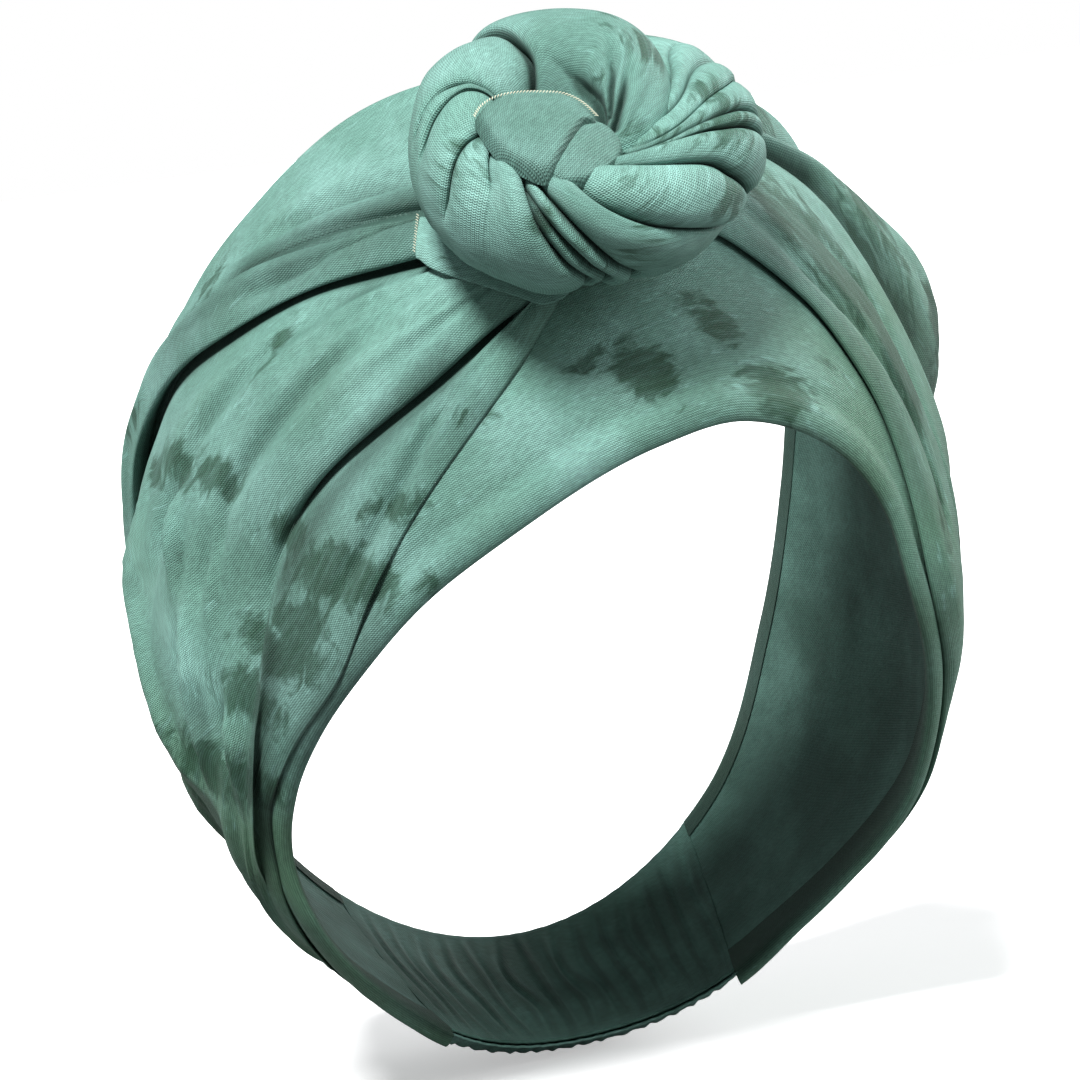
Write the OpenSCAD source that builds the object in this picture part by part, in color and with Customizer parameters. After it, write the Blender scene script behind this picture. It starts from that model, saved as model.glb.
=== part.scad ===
// Knotted headband: a wide jersey turban band, pleated over the sides of the head,
// with a coiled rope knot at the front and a gathered elastic casing at the nape.
//
// Frame: +Z is up and the wearer faces -Y, so +X is on the right of someone who
// looks at the front. The origin is the centre of the head opening, and sizes are
// millimetres. The cloth lies in layers over a head-shaped ellipsoid, and a place
// on it is given as [turn, rise]: turn is 0 at the knot, negative to the left and
// 180 at the nape, and rise is negative at the face edge and positive at the crown
// edge. Left and right are those of someone who looks at the front.

/* [Head shape] */
// Half width of the head shape, side to side
head_x = 80; // [74:1:86]
// Half depth of the head shape, front to back
head_y = 102; // [96:1:108]
// Half height of the head shape
head_z = 116; // [110:1:122]
// Tilt of the band's plane, 0 is level and 90 is upright
band_tilt = 45; // [40:1:50]
// How far the nape curves in from the head shape
nape_in = 9; // [4:1:10]

/* [Cloth] */
// Thickness of a layer of jersey
cloth_t = 1.2; // [0.9:0.1:1.3]
// Gap between the head shape and the lining
wear_gap = 0.4; // [0.3:0.1:0.6]
// Height at which the outer layers lie flat
flat_h = 2; // [1.9:0.1:2.2]
// How far a pleat reaches under its neighbour, in degrees of rise
tuck = 4; // [3:0.5:4.5]

/* [Knot] */
// Height of the coil's centre line above the head shape
coil_h = 20; // [20:0.5:22]
// How far the coil's eye lies left of the band's middle
eye_left = 13; // [11:0.5:14]
// How far the coil's eye lies below the band's middle
eye_down = 6; // [4:0.5:7]
// Half height of the twisted rope
rope_half = 12.5; // [11.5:0.5:12.5]
// Tilt of the knot's face towards the crown
coil_tilt = 3; // [0:1:5]
// Radius of the centre tail where it covers the coil's eye
tail_r = 14; // [13:0.5:14]

/* [Nape] */
// Turn at which the pleats end and the gathers start
gather_turn = 126; // [124:1:128]
// Turn at which the casing starts
casing_turn = 154; // [152:1:156]
// Number of gathers on each side of the nape
gathers = 7; // [5:1:9]

/* [Hidden] */

// Edges of the band and creases between its pleats, each as [turn, rise].
face_edge = [
    [-180, -37], [-150, -41], [-130, -43], [-110, -42], [-95, -38.5], [-80, -37],
    [-50, -37], [-35, -34], [-20, -31], [0, -26.5], [12, -24.5], [20, -25],
    [30, -27], [40, -31], [50, -37], [60, -40], [110, -43], [130, -43],
    [150, -41], [180, -37]
];
crown_edge = [
    [-180, -11], [-150, -3], [-130, 12], [-110, 24], [-90, 31], [-66, 34],
    [-50, 32], [-37, 29.5], [-20, 27], [0, 24], [20, 25], [40, 28],
    [60, 30], [90, 30], [110, 24], [130, 12], [150, -3], [180, -11]
];
lower_crease = [
    [-126, -38], [-100, -36.5], [-83, -34], [-62, -34], [-52, -33], [-40, -28],
    [-28, -22.5], [-19, -18.5], [-12, -16]
];
main_crease = [
    [-126, -34], [-85, -31], [-70, -25], [-60, -21], [-50, -16], [-39, -14],
    [-22, -12], [-12, -10]
];
upper_crease = [
    [-126, 5], [-95, 20], [-76, 24], [-62, 21], [-55, 18], [-44, 13],
    [-32, 8], [-19, 2], [-12, 0]
];
top_crease = [
    [-126, 11], [-95, 26], [-69, 30], [-52, 25], [-39, 19], [-30, 15],
    [-16, 7], [-12, 5.5]
];
front_crease = [
    [12, -6], [16, -7], [21, -10], [27, -13.5], [34, -17.5], [41, -22.5],
    [46, -27], [52, -32], [60, -36], [75, -38], [126, -39]
];
middle_crease = [
    [12, 8], [23, 9], [32, 9], [38, 5], [44, 0], [53, -5], [60, -8],
    [75, -8], [100, -4], [126, -2]
];
rear_crease = [[12, 14], [28, 15], [40, 17], [60, 18], [80, 17], [126, 6]];

// Heights of a pleat's inner and outer faces across its width, as [share, height].
under_tuck = [flat_h, flat_h + cloth_t + 0.1];
fold_in = [[0, 4.6], [0.15, 4.8], [0.45, 5.4], [0.75, 3.9], [1, 2.2]];
fold_out = [[0, 5.8], [0.15, 6.8], [0.45, 7], [0.75, 5.6], [1, 3.6]];
front_in = [[0, 4.6], [0.15, 4.8], [0.5, 5.2], [0.85, 5.8], [1, 5.6]];
front_out = [[0, 5.8], [0.15, 6.6], [0.5, 7], [0.85, 7.4], [1, 6.8]];
middle_in = [[0, 2.6], [0.25, 6.5], [0.6, 11], [0.85, 10], [1, 8]];
middle_out = [[0, 3.9], [0.25, 8.2], [0.6, 12.6], [0.85, 11.4], [1, 9.2]];
rear_in = [[0, 2.8], [0.25, 4.5], [0.6, 6.4], [0.85, 6], [1, 5]];
rear_out = [[0, 4.1], [0.25, 6], [0.6, 7.8], [0.85, 7.4], [1, 6.2]];
spread = [0, 0.08, 0.25, 0.45, 0.7, 0.88, 1];

knot_turn = 12;
seam_gap = 0.5;
turn_step = 5;
stitch_count = 6;
stitch_h = 9;

teal = "#5f9c94";
teal_shade = "#477d78";
teal_dark = "#33605a";
thread_pale = "#d8d9c4";
elastic_white = "#e9e7df";

// A place on the head shape, in the band's own plane before it is tilted.
function smooth(a, b, x) =
    let (t = max(0, min(1, (x - a) / (b - a)))) t * t * (3 - 2 * t);
function heading(turn, rise) =
    [cos(rise) * sin(turn), -cos(rise) * cos(turn), sin(rise)];
function tilted(d) = [
    d.x,
    d.y * cos(band_tilt) + d.z * sin(band_tilt),
    -d.y * sin(band_tilt) + d.z * cos(band_tilt)
];
function head_r(d) =
    let (w = tilted(d))
    1 / sqrt(pow(w.x / head_x, 2) + pow(w.y / head_y, 2) + pow(w.z / head_z, 2));
function nape_dip(turn, rise) =
    nape_in * smooth(100, 150, abs(turn)) * smooth(5, -30, rise);
function place(turn, rise, h) =
    let (d = heading(turn, rise)) d * (head_r(d) - nape_dip(turn, rise) + h);

// A closed sheet from two grids of points of the same size, outer and inner.
module sheet(outer, inner) {
    n = len(outer);
    m = len(outer[0]);
    all = n * m;
    points = concat([for (row = outer) each row], [for (row = inner) each row]);
    faces = [
        for (i = [0 : n - 2], j = [0 : m - 2])
            let (a = i * m + j, b = a + 1, c = a + m, d = c + 1)
            each [
                [a, b, d], [a, d, c],
                [all + a, all + d, all + b], [all + a, all + c, all + d]
            ],
        for (i = [0 : n - 2])
            let (a = i * m, c = a + m, b = a + m - 1, d = b + m)
            each [
                [a, c, all + c], [a, all + c, all + a],
                [b, all + d, d], [b, all + b, all + d]
            ],
        for (j = [0 : m - 2])
            let (a = j, b = j + 1, c = (n - 1) * m + j, d = c + 1)
            each [
                [a, all + b, b], [a, all + a, all + b],
                [c, d, all + d], [c, all + d, all + c]
            ]
    ];
    rotate([-band_tilt, 0, 0]) polyhedron(points, faces, convexity = 6);
}

// Turns from one end of a strip to the other, evenly spaced.
function turns(from, to) =
    let (n = max(3, ceil((to - from) / turn_step)))
    [for (i = [0 : n]) from + (to - from) * i / n];

// A plain layer of even thickness between two edges.
module layer(from, to, low, high, h, t) {
    rows = turns(from, to);
    sheet(
        [for (a = rows) [for (s = spread)
            place(a, low(a) + (high(a) - low(a)) * s, h + t)]],
        [for (a = rows) [for (s = spread)
            place(a, low(a) + (high(a) - low(a)) * s, h)]]
    );
}

// A pleat whose crown side runs on beneath its neighbour.
module tucked_above(from, to, low, high, h_in, h_out) {
    rows = turns(from, to);
    sheet(
        [for (a = rows) concat(
            [for (s = spread) place(a, low(a) + (high(a) - low(a)) * s, lookup(s, h_out))],
            [place(a, high(a) + tuck, under_tuck[1])])],
        [for (a = rows) concat(
            [for (s = spread) place(a, low(a) + (high(a) - low(a)) * s, lookup(s, h_in))],
            [place(a, high(a) + tuck, under_tuck[0])])]
    );
}

// A pleat whose face side starts beneath its neighbour.
module tucked_below(from, to, low, high, h_in, h_out) {
    rows = turns(from, to);
    sheet(
        [for (a = rows) concat(
            [place(a, low(a) - tuck, under_tuck[1])],
            [for (s = spread) place(a, low(a) + (high(a) - low(a)) * s, lookup(s, h_out))])],
        [for (a = rows) concat(
            [place(a, low(a) - tuck, under_tuck[0])],
            [for (s = spread) place(a, low(a) + (high(a) - low(a)) * s, lookup(s, h_in))])]
    );
}

// A pleat that lies over both of its neighbours.
module open_fold(from, to, low, high, h_in, h_out) {
    rows = turns(from, to);
    sheet(
        [for (a = rows) [for (s = spread)
            place(a, low(a) + (high(a) - low(a)) * s, lookup(s, h_out))]],
        [for (a = rows) [for (s = spread)
            place(a, low(a) + (high(a) - low(a)) * s, lookup(s, h_in))]]
    );
}

// Moves its children to the knot: origin in the coil's eye, +Z out of its face, +X
// to the right and +Y towards the crown.
module at_knot() {
    rotate([-band_tilt, 0, 0])
        translate(place(0, 0, 0))
            rotate([90 - coil_tilt, 0, 0])
                translate([-eye_left, -eye_down, coil_h])
                    children();
}

module lining() {
    color(teal_dark)
        layer(
            1 - gather_turn, gather_turn - 1,
            function (a) lookup(a, face_edge) + 1.5,
            function (a) lookup(a, crown_edge) - 1.5,
            wear_gap, cloth_t - 0.2
        );
}

// Upper edge of the forehead panel, under the pleats on both sides and the knot.
function panel_top(a) =
    a < -knot_turn ? lookup(a, lower_crease) + tuck
    : a > knot_turn ? lookup(a, front_crease) + tuck
    : lookup(a, [[-knot_turn, -12], [knot_turn, -2]]);

module forehead_panel() {
    color(teal)
        layer(
            1 - gather_turn, gather_turn - 1,
            function (a) lookup(a, face_edge), function (a) panel_top(a),
            flat_h, cloth_t
        );
}

module left_lower_fold() {
    color(teal)
        tucked_above(
            -82, -knot_turn,
            function (a) lookup(a, lower_crease), function (a) lookup(a, main_crease) - 0.3,
            fold_in, fold_out
        );
}

module left_main_fold() {
    color(teal)
        tucked_above(
            1 - gather_turn, -knot_turn,
            function (a) lookup(a, main_crease), function (a) lookup(a, upper_crease) - 0.3,
            fold_in, fold_out
        );
}

module left_upper_fold() {
    color(teal_shade)
        tucked_above(
            1 - gather_turn, -knot_turn,
            function (a) lookup(a, upper_crease), function (a) lookup(a, top_crease) - 0.3,
            fold_in, fold_out
        );
}

module left_top_fold() {
    color(teal)
        open_fold(
            -100, -knot_turn,
            function (a) lookup(a, top_crease), function (a) lookup(a, crown_edge),
            front_in, front_out
        );
}

module right_front_fold() {
    color(teal)
        open_fold(
            knot_turn, gather_turn - 1,
            function (a) lookup(a, front_crease), function (a) lookup(a, middle_crease),
            front_in, front_out
        );
}

module right_middle_fold() {
    color(teal)
        tucked_below(
            knot_turn + 10, gather_turn - 1,
            function (a) lookup(a, middle_crease) + 0.5, function (a) lookup(a, rear_crease),
            middle_in, middle_out
        );
}

module right_rear_fold() {
    color(teal_dark)
        tucked_below(
            knot_turn + 10, gather_turn - 1,
            function (a) lookup(a, rear_crease) + 0.5, function (a) lookup(a, crown_edge),
            rear_in, rear_out
        );
}

// The scrunched middle of the band, where it rises into the knot's rope.
module knot_base() {
    color(teal_shade)
        layer(
            1 - knot_turn, knot_turn - 1,
            function (a) panel_top(a) + 0.5, function (a) lookup(a, crown_edge) - 2,
            flat_h, 2.4
        );
}

// The knot's rope, as one spiral. Each row is [angle, distance from the eye, half
// width, height of the centre line], and the rope is thinnest where it starts and
// where it dives into the eye.
rope_rows = [
    [56, 34, 8, -4], [45, 35, 10, -2], [20, 31.5, 12, -1], [0, 28, 13, 0],
    [-30, 21.5, 12.5, 0], [-60, 18, 11, 0], [-90, 16, 9.5, 0], [-135, 15.5, 8.8, 0],
    [-186, 15.5, 8.8, 0], [-225, 16.5, 9.5, 0.5], [-262, 21, 14, 1],
    [-285, 19, 11.5, 1.5], [-300, 16, 8.8, 2], [-320, 14.5, 7.6, 2], [-345, 12.5, 5.5, 1]
];
function rope_row(angle) = [for (i = [1 : 3])
    lookup(angle, [for (row = rope_rows) [row[0], row[i]]])];

// A stretch of that rope between two angles, with rounded ends.
module rope(from, to) {
    rings = 30;
    sides = 20;
    points = [for (i = [0 : rings], k = [0 : sides - 1])
        let (
            t = i / rings,
            a = from + (to - from) * t,
            b = 360 * k / sides,
            row = rope_row(a),
            end = min(1, sqrt(min(t, 1 - t) * 14 + 0.2)),
            r = row[0] + row[1] * end * cos(b)
        )
        [r * cos(a), r * sin(a), row[2] + rope_half * end * sin(b)]];
    faces = [
        for (i = [0 : rings - 1], k = [0 : sides - 1])
            let (a = i * sides + k, b = i * sides + (k + 1) % sides)
            each [[a, a + sides, b + sides], [a, b + sides, b]],
        for (k = [1 : sides - 2]) [0, k, k + 1],
        for (k = [1 : sides - 2])
            let (end = rings * sides) [end, end + k + 1, end + k]
    ];
    polyhedron(points, faces, convexity = 4);
}

module knot_lower_coil() {
    color(teal) at_knot() rope(56, -192);
}

module knot_upper_coil() {
    color(teal) at_knot() rope(-193, -345);
}

// Hidden hand stitches that hold the knot down on the band.
module knot_tack_stitches() {
    color(thread_pale)
        at_knot()
            for (i = [0 : stitch_count - 1])
                rotate([0, 0, 360 * i / stitch_count])
                    translate([4.5, 0, stitch_h - coil_h])
                        rotate([90, 0, 0])
                            cylinder(h = 3, r = 0.5, center = true, $fn = 16);
}

// The tucked tail fills the coil's eye and covers its inner slopes.
module tail_plug() {
    rotate_extrude($fn = 48)
        polygon([
            [0, -6], [4.4, -6], [4.6, 0], [5, 4], [6, 8], [8, 12.6],
            [10, 14.9], [tail_r - 0.5, 15.2], [tail_r, 15.9], [tail_r - 3.5, 17.4], [0, 18]
        ]);
}

tail_split = 4;

module centre_tail() {
    color(teal)
        at_knot()
            difference() {
                tail_plug();
                translate([tail_split, -20, 4]) cube([20, 40, 20]);
            }
}

module centre_tail_tuck() {
    color(teal_shade)
        at_knot()
            intersection() {
                tail_plug();
                translate([tail_split + 0.3, -20, 4.3]) cube([20, 40, 12.5]);
            }
}

module centre_tail_hem() {
    color(thread_pale)
        at_knot()
            translate([0, 0, 17.2])
                rotate([0, 0, 80])
                    rotate_extrude(angle = 110, $fn = 48)
                        translate([tail_r - 0.8, 0]) circle(r = 0.4, $fn = 16);
}

// The loose end of the band that comes out from under the knot on the lower left.
tail_low = [[-20, -2], [-15, -6], [-10, -10], [-3, -13]];
tail_high = [[-20, 4], [-15, 2], [-10, -2], [-3, -6]];

module lower_tail() {
    color(teal)
        layer(
            -20, -3,
            function (a) lookup(a, tail_low), function (a) lookup(a, tail_high),
            7.9, cloth_t
        );
}

module lower_tail_hem() {
    color(thread_pale)
        layer(
            -21.3, -20.3,
            function (a) lookup(a, tail_low) + 0.2, function (a) lookup(a, tail_high) - 0.2,
            8, 1
        );
}

// The pleats crowd together before the nape: a sheet with rounded ridges.
module gather(from, to) {
    rows = turns(from, to);
    shares = [for (k = [0 : gathers * 4]) k / (gathers * 4)];
    low = function (a) lookup(a, face_edge);
    high = function (a) lookup(a, crown_edge);
    ridge = function (s) 1.2 * (1 - cos(360 * gathers * s));
    sheet(
        [for (a = rows) [for (s = shares)
            place(a, low(a) + (high(a) - low(a)) * s, 3.4 + ridge(s))]],
        [for (a = rows) [for (s = shares)
            place(a, low(a) + (high(a) - low(a)) * s, 1.6 + ridge(s) / 2)]]
    );
}

module left_gather() {
    color(teal) gather(1 - casing_turn, -gather_turn);
}

module right_gather() {
    color(teal) gather(gather_turn, casing_turn - 1);
}

// A seam where the gathers are sewn into the casing.
module casing_seam(turn) {
    layer(
        turn - 0.4, turn + 0.4,
        function (a) lookup(turn, face_edge) + 0.5, function (a) lookup(turn, crown_edge) - 0.5,
        wear_gap, 4.6
    );
}

module left_casing_seam() {
    color(thread_pale) casing_seam(-casing_turn);
}

module right_casing_seam() {
    color(thread_pale) casing_seam(casing_turn);
}

// One layer of the nape casing, which runs behind the head past turn 180.
module nape_layer(inset, h, t) {
    around = function (a) a > 180 ? a - 360 : a;
    start = casing_turn + 0.4 + seam_gap;
    layer(
        start, 360 - start,
        function (a) lookup(around(a), face_edge) + inset,
        function (a) lookup(around(a), crown_edge) - inset,
        h, t
    );
}

module nape_casing_outer() {
    color(teal) nape_layer(0, 3.8, cloth_t);
}

module nape_casing_inner() {
    color(teal_dark) nape_layer(0.5, wear_gap, cloth_t);
}

module nape_elastic() {
    color(elastic_white) nape_layer(2.5, 2, 1.4);
}

lining();
forehead_panel();
left_lower_fold();
left_main_fold();
left_upper_fold();
left_top_fold();
right_front_fold();
right_middle_fold();
right_rear_fold();
knot_base();
knot_lower_coil();
knot_upper_coil();
knot_tack_stitches();
centre_tail();
centre_tail_tuck();
centre_tail_hem();
lower_tail();
lower_tail_hem();
left_gather();
right_gather();
left_casing_seam();
right_casing_seam();
nape_casing_outer();
nape_casing_inner();
nape_elastic();
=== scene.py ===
"""Looks of the knotted headband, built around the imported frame.

Lengths are millimetres until a mesh is made, and angles are degrees. A place on the
band is (turn, rise): turn is 0 at the knot, negative to the left of someone who looks
at the front and 180 at the nape, and rise is negative at the face edge and positive at
the crown edge. Heights are above a head-shaped ellipsoid, as in the CAD model.
"""
import math

import bpy
import numpy as np
from mathutils import Matrix, Vector


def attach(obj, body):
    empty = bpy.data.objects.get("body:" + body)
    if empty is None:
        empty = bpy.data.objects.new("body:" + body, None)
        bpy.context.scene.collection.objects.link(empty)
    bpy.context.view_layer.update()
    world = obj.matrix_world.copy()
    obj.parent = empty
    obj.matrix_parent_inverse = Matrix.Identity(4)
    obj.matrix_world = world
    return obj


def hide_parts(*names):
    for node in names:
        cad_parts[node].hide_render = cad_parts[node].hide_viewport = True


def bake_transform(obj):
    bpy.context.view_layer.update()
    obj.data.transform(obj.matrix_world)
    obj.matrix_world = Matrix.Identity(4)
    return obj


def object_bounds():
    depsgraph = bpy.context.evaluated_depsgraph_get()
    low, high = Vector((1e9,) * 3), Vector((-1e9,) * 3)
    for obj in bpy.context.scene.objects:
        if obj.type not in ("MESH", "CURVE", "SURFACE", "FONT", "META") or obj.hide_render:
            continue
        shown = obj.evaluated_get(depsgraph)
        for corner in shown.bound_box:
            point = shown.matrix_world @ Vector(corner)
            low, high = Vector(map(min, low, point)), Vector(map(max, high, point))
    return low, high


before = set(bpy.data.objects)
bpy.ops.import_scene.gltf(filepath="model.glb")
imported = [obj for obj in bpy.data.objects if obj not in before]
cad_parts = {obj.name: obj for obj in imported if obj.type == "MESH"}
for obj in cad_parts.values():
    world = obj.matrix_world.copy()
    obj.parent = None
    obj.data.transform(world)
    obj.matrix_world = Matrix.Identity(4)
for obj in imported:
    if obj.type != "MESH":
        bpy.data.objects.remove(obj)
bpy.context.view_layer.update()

MM = 0.001
HEAD_X, HEAD_Y, HEAD_Z = 80.0, 102.0, 116.0  # half axes of the head
BAND_TILT = math.radians(45)
NAPE_IN = 9.0  # how far the band dips in below the nape
DEGREE = 1.9  # millimetres that one degree takes up on the band
CASING_TURN = 154.0  # where the nape casing is sewn on
SHEET_TURN = 154.8  # where the band's sheets end, tucked into the casing


# ---- numbers and places


def smooth(a, b, x):
    """0 at a and beyond, 1 at b and beyond, and an S-curve between."""
    t = np.clip((x - a) / (b - a), 0, 1)
    return t * t * (3 - 2 * t)


def mix(a, b, w):
    return a + (b - a) * w


def line(points):
    """A smooth function through given (x, y) points, level beyond its ends."""
    xs, ys = np.array(points, float).T
    steps = np.diff(ys) / np.diff(xs)
    slopes = np.zeros(len(xs))
    slopes[1:-1] = np.where(steps[:-1] * steps[1:] > 0, (steps[:-1] + steps[1:]) / 2, 0)

    def value(x):
        x = np.clip(x, xs[0], xs[-1])
        k = np.clip(np.searchsorted(xs, x, side="right") - 1, 0, len(xs) - 2)
        width = xs[k + 1] - xs[k]
        t = (x - xs[k]) / width
        start = (1 + 2 * t) * (1 - t) ** 2 * ys[k] + t * (1 - t) ** 2 * width * slopes[k]
        end = t * t * (3 - 2 * t) * ys[k + 1] + t * t * (t - 1) * width * slopes[k + 1]
        return start + end

    return value


def ripple(x, y, seed):
    """Smooth noise from -1 to 1 over unit cells."""
    cells = 64
    lattice = np.random.RandomState(seed).uniform(-1, 1, (cells, cells))
    x, y = np.broadcast_arrays(x, y)
    i, j = np.floor(x).astype(int), np.floor(y).astype(int)
    tx, ty = x - i, y - j
    tx, ty = tx * tx * (3 - 2 * tx), ty * ty * (3 - 2 * ty)
    i0, i1, j0, j1 = i % cells, (i + 1) % cells, j % cells, (j + 1) % cells
    low = mix(lattice[i0, j0], lattice[i1, j0], tx)
    high = mix(lattice[i0, j1], lattice[i1, j1], tx)
    return mix(low, high, ty)


def near_path(x, y, points):
    """Distance to a path of (x, y) points, and how far along it that is, 0 to 1."""
    path = np.array(points, float)
    x, y = np.broadcast_arrays(x, y)
    best = np.full(x.shape, 1e9)
    along = np.zeros(x.shape)
    for k, (a, b) in enumerate(zip(path[:-1], path[1:])):
        leg = b - a
        t = np.clip(((x - a[0]) * leg[0] + (y - a[1]) * leg[1]) / (leg @ leg), 0, 1)
        far = np.hypot(x - a[0] - t * leg[0], y - a[1] - t * leg[1])
        along = np.where(far < best, (k + t) / (len(path) - 1), along)
        best = np.minimum(best, far)
    return best, along


def near_places(turn, rise, places):
    """The same for a path of (turn, rise) places, in millimetres on the band."""
    points = [(t * DEGREE, r * DEGREE) for t, r in places]
    return near_path(turn * DEGREE, rise * DEGREE, points)


def place(turn, rise, height):
    """The point of the frame at a place on the band."""
    turn, rise, height = np.broadcast_arrays(turn, rise, height)
    t, r = np.radians(turn), np.radians(rise)
    x, y, z = np.cos(r) * np.sin(t), -np.cos(r) * np.cos(t), np.sin(r)
    c, s = math.cos(BAND_TILT), math.sin(BAND_TILT)
    x, y, z = x, y * c + z * s, -y * s + z * c
    radius = 1 / np.sqrt((x / HEAD_X) ** 2 + (y / HEAD_Y) ** 2 + (z / HEAD_Z) ** 2)
    dip = NAPE_IN * smooth(100, 150, np.abs(turn)) * smooth(5, -30, rise)
    return np.stack([x, y, z], -1) * (radius - dip + height)[..., None]


# ---- edges and creases

FACE_EDGE = line([
    (-180, -37), (-150, -41), (-130, -43), (-110, -42), (-95, -38.5), (-80, -37.2),
    (-65, -36.5), (-50, -35.4), (-35, -33.2), (-20, -31), (0, -26.5), (12, -24.5),
    (20, -25), (30, -27), (40, -31), (50, -37), (60, -40), (110, -43), (130, -43),
    (150, -41), (180, -37),
])
CROWN_EDGE = line([
    (-180, -11), (-150, -3), (-130, 12), (-110, 24), (-90, 31), (-66, 34), (-50, 32),
    (-37, 29.5), (-20, 27), (0, 22), (20, 25), (40, 28), (60, 30), (90, 30),
    (110, 24), (130, 12), (150, -3), (180, -11),
])
LOWER_CREASE = line([
    (-154, -37.5), (-126, -38.5), (-100, -36.5), (-83, -34), (-62, -34), (-52, -33),
    (-40, -28), (-28, -22.5), (-19, -18), (-12, -13.5), (-8, -10), (-2, -5),
])
MAIN_CREASE = line([
    (-154, -28), (-126, -33), (-85, -31), (-70, -26), (-60, -21), (-50, -16.5),
    (-39, -14), (-22, -12), (-12, -9), (-2, -7),
])
UPPER_CREASE = line([
    (-154, -14), (-126, 5), (-95, 20), (-76, 25), (-62, 22.6), (-55, 19.6), (-44, 13.6),
    (-32, 8), (-19, 2), (-12, 0), (-2, -1),
])
TOP_CREASE = line([
    (-154, -9), (-126, 11), (-95, 26), (-69, 29.5), (-52, 25), (-39, 19), (-30, 15),
    (-16, 7.5), (-12, 6), (-2, 5),
])
FRONT_CREASE = line([
    (2, 0), (13, -3), (16, -4.6), (20, -6.8), (25, -9.6), (30, -13.4), (36, -18),
    (41, -23), (46, -28), (52, -33), (60, -36.5), (75, -38), (126, -39), (154, -37),
])
MIDDLE_CREASE = line([
    (2, 6), (12, 8), (23, 9), (32, 9), (38, 5), (44, 0), (53, -5), (60, -8),
    (75, -8), (100, -4), (126, -4), (154, -24),
])
REAR_CREASE = line([
    (2, 11), (12, 14), (28, 15), (40, 17), (60, 18), (80, 17), (126, 4), (154, -12),
])


# ---- mesh making


def section(stops):
    """Smooth curves through the stops of every row, each (rise, height, steps to next)."""
    rows = np.broadcast_arrays(*[np.asarray(v, float) for s in stops for v in s[:2]])
    p = np.stack([np.stack([rows[2 * i] * DEGREE, rows[2 * i + 1]], -1)
                  for i in range(len(stops))], 1)
    p = np.concatenate([2 * p[:, :1] - p[:, 1:2], p, 2 * p[:, -1:] - p[:, -2:-1]], 1)
    gaps = np.sqrt(np.linalg.norm(np.diff(p, axis=1), axis=2) + 1e-3)
    out = []
    shares = []
    for i, stop in enumerate(stops[:-1]):
        last = i == len(stops) - 2
        t = np.arange(stop[2] + (1 if last else 0)) / stop[2]
        a, b, c, d = (p[:, i + k, None, :] for k in range(4))
        g0, g1, g2 = (gaps[:, i + k, None, None] for k in range(3))
        x = g0 + g1 * t[None, :, None]
        ab = mix(a, b, x / g0)
        bc = mix(b, c, (x - g0) / g1)
        cd = mix(c, d, (x - g0 - g1) / g2)
        abc = mix(ab, bc, x / (g0 + g1))
        bcd = mix(bc, cd, (x - g0) / (g1 + g2))
        out.append(mix(abc, bcd, (x - g0) / g1))
        shares.append(i + t)
    grid = np.concatenate(out, 1)
    return grid[..., 0] / DEGREE, grid[..., 1], np.concatenate(shares)


def arc_lengths(points, axis):
    """Length from the first point to each point along one axis of a grid."""
    steps = np.linalg.norm(np.diff(points, axis=axis), axis=2)
    total = np.cumsum(steps, axis=axis)
    first = np.zeros_like(np.take(total, [0], axis=axis))
    return np.concatenate([first, total], axis=axis)


def weave_of(points):
    """Where the knit's wales and courses run: lengths along and across the cloth."""
    along = arc_lengths(points, 0).mean(1, keepdims=True)
    across = arc_lengths(points, 1)
    return np.stack(np.broadcast_arrays(along, across), -1)


def in_scene(name, data):
    """A new object of the scene, made from its data."""
    made = bpy.data.objects.new(name, data)
    bpy.context.scene.collection.objects.link(made)
    return made


def cloth(name, points, material, weave=None, blotch=None, crease=None, olive_tone_and_shade=None,
          ring=False, thick=0.0):
    """A mesh piece from a grid of points; ring closes the grid across its rows."""
    n, m = points.shape[:2]
    weave = weave_of(points) if weave is None else weave
    i, j = np.meshgrid(np.arange(n - 1), np.arange(m if ring else m - 1), indexing="ij")
    k = (j + 1) % m
    quads = np.stack([i * m + j, (i + 1) * m + j, (i + 1) * m + k, i * m + k], -1)
    quads = quads.reshape(-1, 4)
    mesh = bpy.data.meshes.new(name)
    mesh.vertices.add(n * m)
    mesh.vertices.foreach_set("co", (points * MM).astype(np.float32).ravel())
    mesh.loops.add(quads.size)
    mesh.loops.foreach_set("vertex_index", quads.astype(np.int32).ravel())
    mesh.polygons.add(len(quads))
    mesh.polygons.foreach_set("loop_start", np.arange(0, quads.size, 4, dtype=np.int32))
    mesh.polygons.foreach_set("use_smooth", np.ones(len(quads), bool))
    layer = mesh.uv_layers.new(name="weave")
    flat = weave.reshape(-1, 2)[quads.ravel()]
    layer.data.foreach_set("uv", flat.astype(np.float32).ravel())
    # The crease field is painted shade.
    for label, field in (("blotch", blotch), ("crease", crease), ("olive_tone_and_shade", olive_tone_and_shade)):
        if field is not None:
            field = np.broadcast_to(field, (n, m)).astype(np.float32)
            values = mesh.attributes.new(label, "FLOAT", "POINT")
            values.data.foreach_set("value", field.ravel())
    mesh.update(calc_edges=True)
    mesh.validate()
    piece = in_scene(name, mesh)
    mesh.materials.append(material)
    if thick:
        solid = piece.modifiers.new("cloth_thickness", "SOLIDIFY")
        solid.thickness = thick * MM
        solid.offset = -1
    return piece


def crease_depth(rise, height, reach=6.0):
    """How deep each point lies between the folds beside it, from 0 to 1, used as painted shade in
    the creases.
    """
    across = rise * DEGREE
    gap = across[:, :, None] - across[:, None, :]
    beside = height[:, None, :] - gap**2 / (2 * reach)
    return smooth(0.3, 3.2, beside.max(2) - height)


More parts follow.
